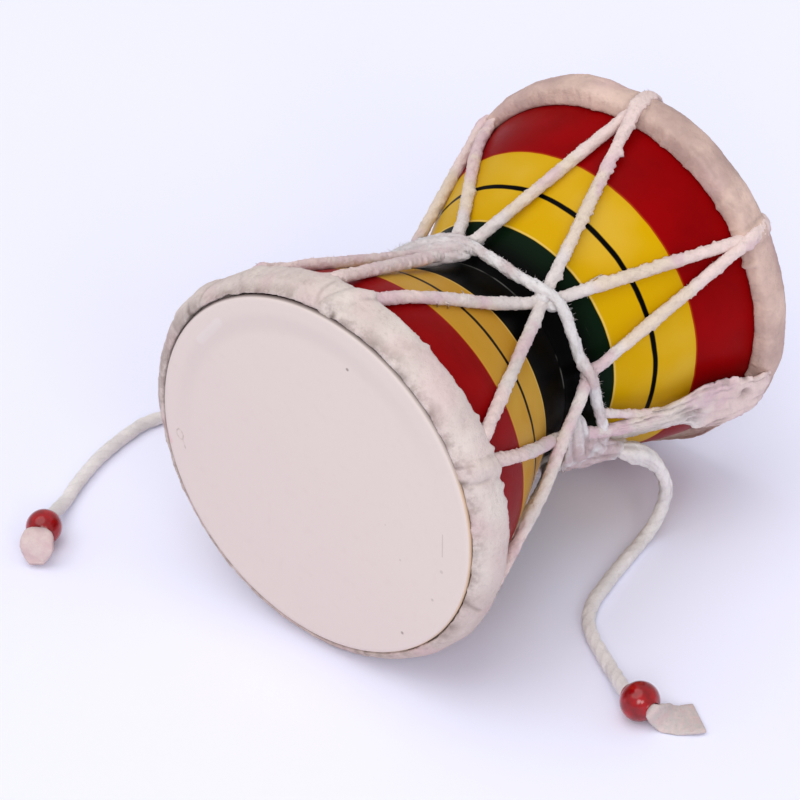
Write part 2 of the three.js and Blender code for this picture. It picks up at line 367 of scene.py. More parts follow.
# The hide tabs at the strikers' ends. Each row has a place, the half width, the half thickness and the way
# across, from the bead outwards.
tabs = {
    "right": [
        (76.6, -33.9, 4.6, 1.5, 1.4, 0.155, 0.729, 0.67), (77.7, -34.0, 4.2, 2.6, 0.8, 0.155, 0.729, 0.67),
        (78.6, -33.0, 3.1, 3.1, 0.62, 0.0, 0.84, 0.55), (79.7, -31.6, 1.9, 3.7, 0.6, -0.2, 0.92, 0.32),
        (81.0, -30.0, 1.05, 4.2, 0.6, -0.38, 0.91, 0.12), (82.6, -28.1, 0.75, 4.7, 0.6, -0.5, 0.86, 0.03),
        (84.2, -26.1, 0.72, 5.1, 0.6, -0.55, 0.83, 0), (84.5, -25.7, 0.72, 5.1, 0.5, -0.55, 0.83, 0),
    ],
    "left": [(*row, 0.91, 0.41, 0) for row in (
        (-73.9, -74.6, 6.9, 2.2, 0.9), (-73.1, -75.9, 7.3, 3.3, 1.1), (-72.3, -77.0, 6.7, 3.9, 1.15),
        (-71.8, -77.8, 5.4, 4.1, 1.15), (-71.6, -78.2, 3.9, 4.1, 1.15), (-71.4, -78.5, 2.5, 3.7, 1.1),
        (-71.1, -78.9, 1.5, 2.9, 0.95), (-70.8, -79.3, 1.1, 1.8, 0.75),
    )],
    # how round each tab's edge is: a low power gives a square one
    "edge": {"right": 0.34, "left": 0.8},
    "step": 0.25, "sides": 64, "offFloor": 0.05,
}


def tab(name, way):
    rows = tabs[way]
    route = smoothRoute([onFloor(*row[:3]) for row in rows], tabs["step"] * mm)
    count = len(route)
    sizes = [alongTable([row[3:] for row in rows], i / (count - 1)) for i in range(count)]
    ways = [Vector(row[2:]) for row in sizes]
    cords = Cords()

    def shape(i, turn):
        wide, thick = sizes[i][:2]
        c, s = cos(turn), sin(turn)
        place = route[i] / mm + ways[i] * c * wide
        uneven = 0.2 * noise(place * 0.55) + 0.1 * noise(place * 1.7) + 0.04 * noise(place * 4)
        side = copysign(abs(c) ** tabs["edge"][way], c) * wide
        rise = copysign(abs(s) ** 0.6, s) * thick
        return side * (1 + 0.04 * noise(route[i] * 700)), rise + uneven * (0.6 if s > 0 else 0.15)

    def facing(i, place):
        along = route[min(count - 1, i + 1)] - route[max(0, i - 1)]
        return ways[i].cross(along) if ways[i].cross(along).z > 0 else along.cross(ways[i])

    cords.sweep(route, tabs["sides"], shape, outward=facing)
    piece = cords.piece(name)
    for vertex in piece.data.vertices:
        vertex.co.z = max(vertex.co.z, axisZ - (floorDrop - tabs["offFloor"]) * mm)
    return piece


rightTab = tab("strikerTabRight", "right")
leftTab = tab("strikerTabLeft", "left")
print("tabs shaped")

for piece, route, beadPiece, tabPiece, way in (
    (rightCord, rightRoute, rightBead, rightTab, "right"),
    (leftCord, leftRoute, leftBead, leftTab, "left"),
):
    for part, node in ((piece, "striker_cord_"), (beadPiece, "striker_bead_"), (tabPiece, "striker_tip_")):
        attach(part, "root")
        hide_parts(node + way)
    length = sum((q - p).length for p, q in zip(route, route[1:]))
    path = route[::strikers["pathEvery"]]
    path += [route[-1]] if (len(route) - 1) % strikers["pathEvery"] else []

shell = {
    "steps": 192, "fineStep": 0.22, "coarseStep": 1.1, "insideSteps": 40, "rimWall": 4, "waistWall": 9,
    "grooveDepth": 0.08, "grooveWidth": 0.35, "grooves": [-1.1, 13.2, -13.2, 33.1, -33.1],
}


def shellSection():
    section = []
    half = drum["shellHalf"]
    along = -half
    while along < half - 0.01:
        dip = sum(bell(along - g, shell["grooveWidth"]) for g in shell["grooves"])
        section.append((shellRadius(along) - dip * shell["grooveDepth"], along))
        near = min(abs(along - g) for g in shell["grooves"])
        along += shell["fineStep"] if near < 1 else shell["coarseStep"]
    section.append((shellRadius(half), half))
    for i in range(shell["insideSteps"] + 1):
        along = half * (1 - 2 * i / shell["insideSteps"])
        inward = (1 - abs(along) / half) ** 1.5
        wall = shell["rimWall"] + (shell["waistWall"] - shell["rimWall"]) * inward
        section.append((shellRadius(along) - wall, along))
    return section


shellPiece = turnedOnDrum("shellTurned", shellSection(), shell["steps"])
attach(shellPiece, "root")
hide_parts("shell")
print("shell turned")

# The heads. Their edge rounds over the shell's rim: the radius, then how far behind the face.
head = {
    "steps": 192, "rings": 44, "wave": 0.1, "dish": 0.06, "flat": 43.7, "thick": 1.5,
    "edge": [(44.25, 0.06), (44.65, 0.22), (44.9, 0.5), (45, 0.85), (44.95, 1.2)], "rear": [44.8, 40, 20, 0],
}


def headPiece(name, side):
    section = [(0, 0)]
    for i in range(1, head["rings"]):
        section.append((head["flat"] * i / (head["rings"] - 1), 0))
    section += head["edge"] + [(r, head["thick"]) for r in head["rear"]]
    section = [(r, side * (drum["halfLength"] - back)) for r, back in section]
    piece = turnedOnDrum(name, section, head["steps"])
    for vertex in piece.data.vertices:
        place = (vertex.co - drumMiddle) / mm
        out = hypot(place.x, place.z)
        calm = 1 - smoothStep(38, 44, out)
        wave = noise(Vector((place.x, place.z, side * 9)) * 0.045) * head["wave"] * calm
        vertex.co.y -= side * (head["dish"] * calm + abs(wave)) * mm
    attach(piece, "root")
    return piece


frontHead = headPiece("headSkinFront", -1)
backHead = headPiece("headSkinBack", 1)
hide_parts("head_skin_front")
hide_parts("head_skin_back")
print("heads stretched")

# The hoops, each wrapped in hide. A table with two sides has the front hoop at -1 and the back one at 1.
hoop = {
    # how far behind the head's face, then the radius
    "section": [
        (2.3, 45.3), (1.25, 45.42), (0.65, 45.7), (0.72, 46.2), (1.45, 46.95), (2.6, 47.75), (4, 48.45),
        (5.8, 48.8), (8, 48.85), (9.4, 48.5), (10.3, 47.75), (10.75, 46.4), (10.5, 44.2), (8, 43.9), (5, 44.1),
        (3.2, 44.4),
    ],
    "around": 60, "steps": 720, "outer": 48.5, "under": 46.5,
    # how far it stands out of round, by angle
    "outOfRound": {
        -1: [(110, -0.7), (120, -0.7), (130, -0.5), (140, 0.8), (150, 1.3), (160, 1.0), (170, 1.1), (180, 0.9),
             (195, 0.1), (210, -0.4), (220, -0.1), (230, 0.1), (240, 0.2), (260, 0), (450, 0)],
        1: [(320, -2.0), (330, -0.8), (340, 0), (350, 0.2), (360, 0), (370, 0), (380, -0.1), (390, 0.4),
            (400, 0.4), (410, 0.6), (420, 1.0), (430, 1.2), (440, 0.6), (450, 0.1), (460, 1.1), (470, 0.8),
            (480, 0.3), (490, -0.4), (510, -2.0), (520, -2.2), (560, -0.6), (600, 0), (630, -0.4), (655, -2.0)],
    },
    # where each tie crosses the front of its hoop, the rear of it, and where it leaves it below
    "ties": {
        "F1": (80.5, 85.5, 92.5), "F2": (22.3, 25.3, 31), "F3": (322.5, 325, 328.5), "F4": (297.5, 299.5, 299),
        "F5": (242, 244, 243.5), "F6": (180, 182, 181.5), "F7": (117.5, 120.5, 120),
        "B1": (81.9, 83.6, 83.2), "B2": (32, 33, 32.6), "B3": (337.6, 339.5, 339), "B4": (267.5, 269, 266),
        "B5": (243, 245, 244.5), "B6": (193, 195, 194.5), "B7": (140.5, 143.5, 143),
    },
    # ties that lie over their hoop in plain sight, with how much lower they lie, and ties that show as a
    # ridge under its hide
    "plain": {"B1": 0.4, "B2": 1.1}, "ridges": ("F1", "F2"),
    # how far behind the head, the radius, and the share of the way from the front angle to the rear one
    "over": [(-0.2, 44.2, 1), (-0.6, 45.6, 1), (0, 46.9, 0.95), (1.6, 48.1, 0.82), (4, 49.2, 0.6),
             (7, 49.6, 0.32), (9.6, 49.5, 0)],
    "below": [(7, 45.8, 0.4), (9.3, 46.3, 0.2), (11, 46.3, 0)],
    # creases pressed into the hide: angle and |along|, then depth and half width
    "creases": {
        -1: [
            ([(27.8, 61.4), (27.2, 59.9), (26.3, 57.2)], 0.3, 0.4),
            ([(22.4, 60.5), (21.2, 57.5), (20.6, 54.3)], 0.25, 0.4),
            ([(347.8, 64.3), (343, 60.8), (337.9, 55.9)], 0.4, 0.45),
            ([(356.4, 64.4), (354, 62), (352.6, 58.6)], 0.25, 0.7),
            ([(288.6, 61), (288.4, 56), (288.8, 50)], 0.5, 0.4),
            ([(141, 60), (143, 57.5), (142.5, 55)], 0.45, 0.6),
            ([(88.6, 60), (89.8, 56), (89.4, 52)], 0.25, 0.45),
            ([(136, 59.5), (134, 56), (133, 52)], 0.3, 0.5),
            ([(151, 60), (153, 56), (152, 52)], 0.3, 0.5),
            ([(118, 58), (121, 54), (120, 51)], 0.15, 0.5),
        ],
        1: [
            ([(81.5, 52.6), (82.4, 55), (83.6, 57.9)], 0.25, 0.4),
            ([(62.4, 50.5), (57.6, 50.9), (51.4, 50.4)], 0.2, 0.5),
            ([(44.3, 50), (42.2, 50.3)], 0.25, 0.4),
            ([(34.8, 51), (35.4, 54.5), (35.4, 57.5)], 0.2, 0.4),
        ],
    },
    # nibs of hide at the rear edge: angle and length
    "nibs": {
        -1: [(36.2, 0.8), (26.8, 0.9), (11.6, 0.6), (16, 0.9), (58.8, 0.7), (78.9, 1.2), (94, 0.8), (340, 0.6)],
        1: [(44, 0.6), (24.6, 1.1), (340, 1.2), (345, 0.7), (140, 1.0), (60, 0.4), (96, 0.6), (70, 0.4)],
    },
    "nibWidth": 0.8, "ridgeWidth": 2.2,
    "gap": {"at": 345, "least": 0.15, "more": 0.55},  # the lip stands off the head most on one side
    "drawnBack": {"at": 303, "width": 17, "depth": 2.6},  # the back hoop's hide falls short here
    "pinkAt": 14, "pinkWidth": 7,
}


def standOut(side, angle):
    table = hoop["outOfRound"][side]
    first = table[0][0]
    angle = (angle - first) % 360 + first
    ring = table + [(first + 360, table[0][1])]
    for (a, p), (b, q) in zip(ring, ring[1:]):
        if a <= angle <= b:
            return p + (q - p) * smoothStep(a, b, angle)
    return 0


def toStroke(angle, along, radius, stroke):
    best = 99
    for (a, p), (b, q) in zip(stroke, stroke[1:]):
        bx, x = arc(b, a, radius), arc(angle, a, radius)
        y, dy = along - p, q - p
        share = min(1, max(0, (x * bx + y * dy) / max(1e-9, bx * bx + dy * dy)))
        best = min(best, hypot(x - bx * share, y - dy * share))
    return best


def closedSection(points, count):
    route = smoothRoute([Vector((r, y, 0)) for y, r in points], 0.01, closed=True)
    total = sum((q - p).length for p, q in zip(route, route[1:] + route[:1]))
    even = smoothRoute([Vector((r, y, 0)) for y, r in points], total / count, closed=True)
    return [(p.x, p.y) for p in even]


def hoopPiece(name, side):
    section = closedSection(hoop["section"], hoop["around"])
    section = [(r, side * (drum["halfLength"] - back)) for r, back in section]
    piece = turnedOnDrum(name, section, hoop["steps"])
    letter = "F" if side < 0 else "B"
    ties = [(key, places) for key, places in hoop["ties"].items() if key[0] == letter]
    gap, drawn = hoop["gap"], hoop["drawnBack"]
    paintedShade, pink = [], []
    for vertex in piece.data.vertices:
        place = (vertex.co - drumMiddle) / mm
        angle = degrees(atan2(place.z, place.x)) % 360
        turn = radians(angle)
        out = hypot(place.x, place.z)
        along = abs(place.y)
        back = drum["halfLength"] - along
        around = Vector((cos(turn) * 48, sin(turn) * 48, back + side * 40))

        def uneven(scale, shift=(0, 0, 0)):
            return noise(around * scale + Vector(shift))

        # How far the point belongs to the outer face, to the lip over the head and to the rear edge.
        outer = smoothStep(45.4, 47.6, out)
        lip = (1 - smoothStep(0.8, 2.6, back)) * (1 - smoothStep(46.2, 47.4, out))
        rear = smoothStep(8.6, 10.3, back)

        lumps = 0.3 * uneven(0.16) + 0.16 * uneven(0.45) + 0.09 * uneven(1.3) + 0.06 * uneven(3)
        wrinkle = max(0, 0.16 - abs(ripple(angle * 0.13, back * 0.06, side))) / 0.16
        lumps -= (0.12 if side < 0 else 0.04) * wrinkle
        rise = outer * (standOut(side, angle) + lumps)
        push = lip * (0.35 * uneven(0.22, (9, 0, 0)) + 0.15 * uneven(0.9))
        slack = gap["least"] + gap["more"] * (cos(radians(angle - gap["at"])) + 1) / 2
        chips = 0.34 * uneven(0.33) + 0.26 * max(0, uneven(1.3)) + 0.14 * uneven(2.6)
        inward = lip * (0.02 - slack * 0.5 + chips)
        ragged = rear * (0.32 * uneven(0.3, (0, 7, 0)) + 0.3 * max(0, uneven(1.9)) + 0.12 * uneven(4))
        if side > 0:
            ragged -= rear * drawn["depth"] * bell(nearAngle(angle, drawn["at"]), drawn["width"])
        for at, size in hoop["nibs"][side]:
            gone = arc(angle, at, hoop["outer"])
            if abs(gone) < 3:
                ragged += rear * size * bell(gone, hoop["nibWidth"])

        # Painted shade: darker in the grooves beside the ties, in the holes where they meet the lip and in the
        # pressed creases.
        shade = 0
        for key, (near, far, under) in ties:
            share = min(1, max(0, 1 - back / 9.6))
            gone = arc(angle, near + (far - near) * share, hoop["outer"])
            if abs(gone) < 8:
                if key in hoop["ridges"]:
                    high = 1.15 * (1 + 0.3 * uneven(0.7))
                elif key in hoop["plain"]:
                    high = 0.35
                else:
                    high = 0.4 * smoothStep(4, 9, back)
                rise += outer * high * bell(gone, hoop["ridgeWidth"])
                if key in hoop["ridges"] or key in hoop["plain"]:
                    rise -= outer * 0.2 * bell(abs(gone) - 2.8, 0.6)
                    push -= lip * 0.5 * bell(gone, 2.0)
                    inward -= lip * 1.3 * bell(gone, 1.7)
                    shade = max(shade, 0.3 * outer * bell(abs(gone) - 2.6, 0.5) * (0.5 + uneven(0.8)))
                    shade = max(shade, 0.9 * lip * bell(gone + 2.2, 0.8))
            gone = arc(angle, under, hoop["under"])
            if abs(gone) < 6:
                ragged += rear * 0.7 * bell(gone, hoop["ridgeWidth"])
        for stroke, depth, width in hoop["creases"][side]:
            if abs(nearAngle(angle, stroke[0][0])) < 16:
                far = toStroke(angle, min(along, 60.4), 48.8, [(a, min(b, 60.8)) for a, b in stroke])
                if far < 3 * width:
                    rise -= outer * depth * bell(far, width)
                    shade = max(shade, bell(far, width) * depth * 1.1)

        back += ragged - push * 0.4
        vertex.co = onDrum(angle, side * (drum["halfLength"] - back), out + rise + inward)
        vertex.co.z = max(vertex.co.z, axisZ - floorDrop * mm)
        # The lip's share is painted shade in the gap between the lip and the head.
        paintedShade.append(min(1, shade + lip * 0.9 * max(0, uneven(0.4, (2, 0, 6)) - 0.12)))
        stain = max(0, uneven(0.11, (3, 1, 5)) - 0.05) * 1.6
        if side < 0:
            stain += 0.8 * rear * bell(nearAngle(angle, hoop["pinkAt"]), hoop["pinkWidth"])
        pink.append(min(1, stain))
    for key, values in (("paintedShade", paintedShade), ("pink", pink)):
        layer = piece.data.attributes.new(key, "FLOAT", "POINT")
        layer.data.foreach_set("value", values)
    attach(piece, "root")
    return piece


frontHoop = hoopPiece("hoopFrontHide", -1)
backHoop = hoopPiece("hoopBackHide", 1)
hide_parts("hoop_front")
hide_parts("hoop_back")
print("hoops wrapped")

# The lacing: each run goes from a tie on one hoop, over places at the waist, to a tie on the other.
lacing = {
    "radius": 1.46, "sides": 18, "step": 0.4, "hairs": 1500, "hairFrom": 1.45, "hairThick": 0.075,
    "flakes": [(0.2, 1), (0.23, 1), (0.27, -1), (0.3, -1), (0.62, -1)],
    "strand": [(353.5, 5, 31.8), (351.2, 8.6, 33.4), (348.8, 13, 35.4), (347, 17, 37), (346, 22, 39)],
    "strandRadius": 1.05,
    "runs": [
        ("F1", "B2", [(57.9, -4.9, 29.6), (49.7, 5.9, 29.8)]),
        ("F2", "B3", [(351.3, -5.7, 31), (346.6, 3, 33.2), (344.6, 9, 35.3), (343.6, 14, 36.8)]),
        ("F3", "B4", [(321.5, -6, 32.2), (316, -1, 30.6), (303, 5, 29.3)]),
        ("F4", "B5", [(274, -4, 29.4), (266, 4, 29.4)]),
        ("F5", "B6", [(217, -4, 29.4), (211, 4, 29.4)]),
        ("F6", "B7", [(162, -4, 29.4), (156.5, 4, 29.4)]),
        ("F7", "B1", [(109, -7.6, 31), (99.5, 5, 29.8)]),
        ("B1", "F2", [(57.2, 5.2, 30.2), (48.5, -4.9, 30.2)]),
        ("B2", "F3", [(13, 4.8, 30), (8.5, -2.6, 32.2), (3.4, -11, 34.7), (357.6, -17.6, 36.6),
                      (351, -26, 39.4)]),
        ("B3", "F4", [(326, 8, 30.6), (300, -4, 29.3)]),
        ("B4", "F5", [(262, 4, 30.2), (256, -4, 30.2)]),
        ("B5", "F6", [(219, 4, 30.2), (209, -4, 30.2)]),
        ("B6", "F7", [(163, 4, 30.2), (155, -4, 30.2)]),
        ("B7", "F1", [(114.2, 9.1, 30.9), (102.4, -3.6, 29.9)]),
    ],
}


def runPlaces(start, end, waist):
    side = -1 if start[0] == "F" else 1
    near, far, _ = hoop["ties"][start]
    lower = hoop["plain"].get(start, 0)
    places = []
    for back, radius, share in hoop["over" if start in hoop["plain"] else "below"]:
        angle = near + (far - near) * share
        lift = standOut(side, angle) * smoothStep(45.4, 47.6, radius - lower)
        places.append(onDrum(angle, side * (drum["halfLength"] - back), radius - lower + lift))
    hook = len(places)
    turns = [onDrum(*place) for place in waist]
    arrive = onDrum(hoop["ties"][end][2], -side * 49, 46.9)
    places += onChord(places[-1], turns[0]) + turns + onChord(turns[-1], arrive)
    places += [arrive, onDrum(hoop["ties"][end][2], -side * 53, 46.3)]
    return places, hook


# Points of a taut stretch, which lies on the shell where it has to.
def onChord(start, end):
    found = []
    for share in (0.07, 0.25, 0.5, 0.75, 0.93):
        place = start.lerp(end, share)
        away = awayFromAxis(0, place)
        least = (shellRadius(place.y / mm) + lacing["radius"] + 0.1) * mm
        found.append(place + away.normalized() * max(0, least - away.length))
    return found


# A twisted strip with one torn edge, flattened where it lies over its hoop.
def laceShape(route, hookLength, seed, base):
    last = len(route) - 1

    def shape(i, turn):
        run = i * lacing["step"]
        flat = 1 - smoothStep(hookLength - 3, hookLength + 7, run)
        place = route[i] / mm
        c, s = cos(turn), sin(turn)
        spot = place + Vector((c, s, c - s)) * 1.5 + Vector((seed * 13, 0, 0))
        swell = 1 + 0.1 * noise(place * 0.16 + Vector((seed, 0, 0))) + 0.1 * noise(spot * 0.5)
        swell += 0.12 * noise(spot * 1.4) + 0.14 * noise(spot * 2.7)
        torn = 1.2 * max(0, ripple(run * 0.9, seed * 3.3, 0) - 0.08) + 0.6 * max(0, ripple(run * 2.3, seed, 0))
        torn *= max(0, cos(turn + pi - 0.4)) ** 2
        small = roundedEnd(min(1, (last - i + 0.6) / 3, (i + 0.6) / 3), 0.04)
        wide, thick = base * (1 + 0.3 * flat) * swell + torn, base * (1 - 0.45 * flat) * swell
        return wide * c * small, thick * s * small

    return shape


cords = Cords()
laceRoutes = []
for number, (start, end, waist) in enumerate(lacing["runs"]):
    places, hook = runPlaces(start, end, waist)
    route = smoothRoute(places, lacing["step"] * mm)
    hookLength = sum((q - p).length for p, q in zip(places[:hook], places[1:hook])) / mm
    shape = laceShape(route, hookLength, number + 1, lacing["radius"])
    cords.sweep(route, lacing["sides"], shape, outward=awayFromAxis)
    laceRoutes.append(route)
for _ in range(lacing["hairs"]):
    route = random.choice(laceRoutes)
    i = random.randrange(10, len(route) - 8)
    along = (route[i + 1] - route[i]).normalized()
    out = awayFromAxis(0, route[i]).normalized()
    across = along.cross(out)
    turn = random.uniform(-0.6, pi)
    away = across * cos(turn) + out * sin(turn)
    heading = (away + along * random.uniform(-0.7, 0.7)).normalized()
    length = random.uniform(0.2, 0.65) * mm
    cords.hair(route[i] + away * lacing["hairFrom"] * mm, heading, length, lacing["hairThick"])
# Flakes of hide torn up beside the first run: the share of the way along it, and the side.
for share, way in lacing["flakes"]:
    i = int(share * len(laceRoutes[0]))
    root = laceRoutes[0][i]
    along = (laceRoutes[0][i + 1] - root).normalized()
    across = along.cross(awayFromAxis(0, root).normalized()) * way
    cords.hair(root + across * 1.0 * mm, (across * 0.5 + along * 0.8).normalized(), 3.0 * mm, 0.5)

# Where two runs meet the back hoop, a torn flap of hide spreads over them: angle, along and radius, then
# its half width.
flap = {
    "rows": [
        (346, 5, 34, 1.0), (345.6, 9, 35.4, 1.7), (344.6, 14.5, 37.2, 2.1), (344, 21, 39.4, 3.2),
        (344.6, 28, 41.9, 4.8), (343.8, 35, 44.4, 6.8), (342.8, 42, 46.9, 7.8), (342.6, 47.5, 48.4, 7.2),
        (342, 51.5, 48.2, 6.2), (341.6, 54.8, 45.8, 4.5),
    ],
    "thick": 1.35, "step": 0.5, "sides": 64,
    # the hollow near its end: how far along and across, its size and its depth
    "hollow": {"along": 43.5, "across": -2.4, "size": 1.5, "depth": 1.8},
}
flapRoute = drumRoute(flap["rows"], flap["step"])


def flapShape(i, turn):
    wide = alongTable([row[3:] for row in flap["rows"]], i / (len(flapRoute) - 1))[0]
    c, s = cos(turn), sin(turn)
    spot = c * wide / (0.35 + 0.12 * wide)  # the folds fan out with the flap
    folds = 0.75 * ripple(spot * 0.8, i * 0.02, 4) + 0.4 * ripple(spot * 1.9, i * 0.035, 8)
    crease = max(0, 0.3 - abs(ripple(spot * 0.8 + 3, i * 0.018, 21))) / 0.3
    crease *= max(0, min(1, 0.45 + 3 * ripple(spot * 0.5, i * 0.07, 33)))
    rough = 0.16 * ripple(c * wide, i * 0.4, s) + 0.1 * ripple(c * wide * 3, i * 1.1, s)
    hollow = flap["hollow"]
    dent = hollow["depth"] * bell(flapRoute[i].y / mm - hollow["along"], hollow["size"])
    dent *= bell(c * wide - hollow["across"], hollow["size"])
    edge = 1 + 0.14 * ripple(i * 0.12, c, 3) + 0.08 * ripple(i * 0.5, c * 2, 9)
    fringe = max(0, abs(c) - 0.8) * 5 * max(0, ripple(i * 0.16, c * 3, 40) + 0.1)
    # Painted shade in the creases, in the hollow and along the torn fringe.
    shade = min(1, crease ** 1.5 * 0.75 + dent * 0.5 + fringe * 1.5) if s > -0.2 else 0
    relief = (folds + rough - dent - crease * 0.7) * (1 if s > 0 else 0.3)
    return c * wide * edge, s * flap["thick"] + relief, shade


cords.sweep(flapRoute, flap["sides"], flapShape, outward=awayFromAxis)
strand = drumRoute(lacing["strand"], lacing["step"])
cords.sweep(strand, lacing["sides"], laceShape(strand, 0, 31, lacing["strandRadius"]), outward=awayFromAxis)
lacePiece = cords.piece("lacingHide")
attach(lacePiece, "root")
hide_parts("lacing")
print("lacing drawn")

# The cord drawn round the lacing at the waist: angle, along and radius.
waistCord = {
    "radius": 1.4, "sides": 20, "step": 0.4, "hairs": 1300, "hairThick": 0.075, "endRings": 13,
    "route": [
        (106, -1.5, 31.8), (94, 0, 31), (84.7, -0.6, 30.8), (75.7, -0.2, 30.2), (67.9, 0.1, 30.4),
        (59.1, 0.6, 31.6), (53.6, 1.3, 32.7), (45.3, 1.9, 32.5), (33.7, 1.7, 31), (22, 1.8, 30.8),
        (14, 1.9, 32.7), (3.9, 3.9, 31.4), (354, 4.7, 32.4), (347, 5.6, 33.6), (338, 7, 33.8), (326, 6.6, 32),
        (309, 4, 30.8), (291, 1.5, 31), (270, 0, 33.8), (242, 0, 30.6), (214, 0, 33.8), (187, 0, 31),
        (159, 0.5, 33), (132, 0.5, 30.8),
    ],
    # turns in the bundle on top, with their radius
    "wraps": [
        ([(132, -12, 29.6), (122, -10, 30.6), (112, -8.2, 31.2), (103.5, -5.6, 31.4), (98.5, -2.6, 31),
          (92, 0.2, 30)], 1.9),
        ([(136, -5, 29.8), (124, -5.6, 31.2), (113, -5.2, 31.9), (104, -3.2, 31.9), (97.5, -0.8, 31),
          (90, 0.8, 29.6)], 1.8),
        ([(126, -13, 29), (114, -11.2, 30), (105, -9, 30.3), (98.6, -5.4, 30.2), (93, -1.6, 29.4)], 1.5),
        ([(124, -2.5, 30), (112, -2.2, 31.6), (103, -0.6, 31.8), (94, 1.4, 30)], 1.6),
    ],
    # lumps where turns are knotted: place, then size
    "knots": [(188, 0, 32.6, 2.6), (101, -2.2, 30.6, 2.2), (54.4, 0.6, 30.6, 1.8), (49.4, 1.6, 30.8, 1.7),
              (14.5, 2.4, 31, 1.7)],
    "knotSides": 24,
    # the soft wad from which the right striker's cord leaves: its middle line, half width and half thickness
    "wad": [
        (361, -2.4, 30, 1.2, 0.9), (356, -2.8, 31.6, 2.9, 1.4), (349.4, -3.0, 32.6, 5.0, 1.7),
        (341.4, -1.4, 32.9, 6.8, 1.9), (335, 3.4, 33.5, 5.8, 2.0), (331.9, 8.6, 34.9, 3.9, 2.3),
        (330.2, 12.6, 36.3, 2.8, 2.4), (328.8, 15.6, 36.4, 2.1, 1.8),
    ],
    "wadSides": 64,
}


def waistShape(route, base, seed):
    def shape(i, turn):
        place = route[i] / mm
        c, s = cos(turn), sin(turn)
        spot = place + Vector((c, s, c - s)) * 1.8 + Vector((0, seed, 0))
        swell = 1 + 0.12 * noise(place * 0.2) + 0.15 * noise(spot * 0.5)
        swell += 0.14 * noise(spot * 1.4) + 0.1 * noise(spot * 3)
        swell += 0.14 * (abs(noise(spot * 0.9 + Vector((7, 0, 0)))) * 2 - 0.5)
        rings = waistCord["endRings"]
        end = min(1, (i + 0.6) / rings, (len(route) - i - 0.4) / rings) if seed else 1
        radius = base * swell * roundedEnd(end, 0.03)
        return radius * c, radius * s

    return shape


cords = Cords()
route = drumRoute(waistCord["route"], waistCord["step"], closed=True)
shape = waistShape(route, waistCord["radius"], 0)
cords.sweep(route, waistCord["sides"], shape, outward=awayFromAxis, closed=True)
# Where fibres may stand: a place on a middle line, and how far the surface is from it.
fuzzy = [(p, 1.7) for p in route]
for number, (points, radius) in enumerate(waistCord["wraps"]):
    short = drumRoute(points, waistCord["step"])
    cords.sweep(short, waistCord["sides"], waistShape(short, radius, number + 1), outward=awayFromAxis)
    fuzzy += [(p, 1.5) for p in short] * 3
for *place, size in waistCord["knots"]:
    centre = onDrum(*place)
    short = [centre + Vector((0, 1, 0)) * mm * size * (k / 8 - 1) for k in range(17)]

    def lump(i, turn, size=size, short=short):
        bulge = sqrt(max(0.02, 1 - (i / 8 - 1) ** 2)) * size
        spot = short[i] / mm + Vector((cos(turn), 0, sin(turn))) * 2.5
        bulge *= 1 + 0.25 * noise(spot * 0.5) + 0.16 * noise(spot * 1.3) + 0.08 * noise(spot * 3)
        return bulge * cos(turn), bulge * sin(turn)

    cords.sweep(short, waistCord["knotSides"], lump, outward=awayFromAxis)
wadRoute = drumRoute(waistCord["wad"], waistCord["step"])


def wadShape(i, turn):
    wide, thick = alongTable([row[3:] for row in waistCord["wad"]], i / (len(wadRoute) - 1))
    c, s = cos(turn), sin(turn)
    spot = Vector((c * wide, i * waistCord["step"] * 0.25, 0))
    crease = max(0, 0.16 - abs(noise(spot * 0.35 + Vector((0, 0, 17))))) / 0.16
    folds = noise(spot * 0.45) + 0.3 * noise(spot * 1.1 + Vector((0, 0, 5))) - 0.6 * crease
    place = wadRoute[i] / mm + Vector((c * wide, 0, s))
    rough = 0.1 * noise(place * 1.1) + 0.07 * noise(place * 2.6)
    rise = s * thick * (1 - 0.35 * c * c) + (folds + rough) * (0.8 if s > 0 else 0.3)
    # Painted shade in the creases on its top.
    return c * wide * (1 + rough * 0.5), rise, crease * 0.5 if s > 0 else 0


cords.sweep(wadRoute, waistCord["wadSides"], wadShape, outward=awayFromAxis)
fuzzy += [(p, 1.7) for p in wadRoute]
for _ in range(waistCord["hairs"]):
    root, radius = random.choice(fuzzy)
    out = awayFromAxis(0, root).normalized()
    heading = (out + anyWay()).normalized()
    length = random.uniform(0.25, 0.85) * mm
    cords.hair(root + heading * radius * 0.95 * mm, heading, length, waistCord["hairThick"])
waistPiece = cords.piece("waistCordTied")
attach(waistPiece, "root")
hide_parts("waist_cord")
print("waist cord tied")


def mathsNode(operation, swapped=False):
    def apply(wire, *others):
        values = (*others, wire) if swapped else (wire, *others)
        return wire.finish.add("ShaderNodeMath", {"operation": operation}, dict(enumerate(values)))

    return apply


# A number that varies over a surface; sums on it add Math nodes.
class Wire:
    def __init__(self, finish, socket):
        self.finish = finish
        self.socket = socket

    __add__ = __radd__ = mathsNode("ADD")
    __sub__ = mathsNode("SUBTRACT")
    __rsub__ = mathsNode("SUBTRACT", swapped=True)
    __mul__ = __rmul__ = mathsNode("MULTIPLY")
    __pow__ = mathsNode("POWER")
    size = mathsNode("ABSOLUTE")
    wave = mathsNode("SINE")
    least = mathsNode("MINIMUM")
    most = mathsNode("MAXIMUM")

    # 0 below the first value, 1 above the second.
    def ramp(self, low, high):
        return self.finish.add("ShaderNodeMapRange", {"interpolation_type": "SMOOTHSTEP"},
                               {"Value": self, "From Min": low, "From Max": high})

    def parts(self):
        node = self.finish.add("ShaderNodeSeparateXYZ", {}, {0: self}, whole=True)
        return [Wire(self.finish, node.outputs[k]) for k in range(3)]


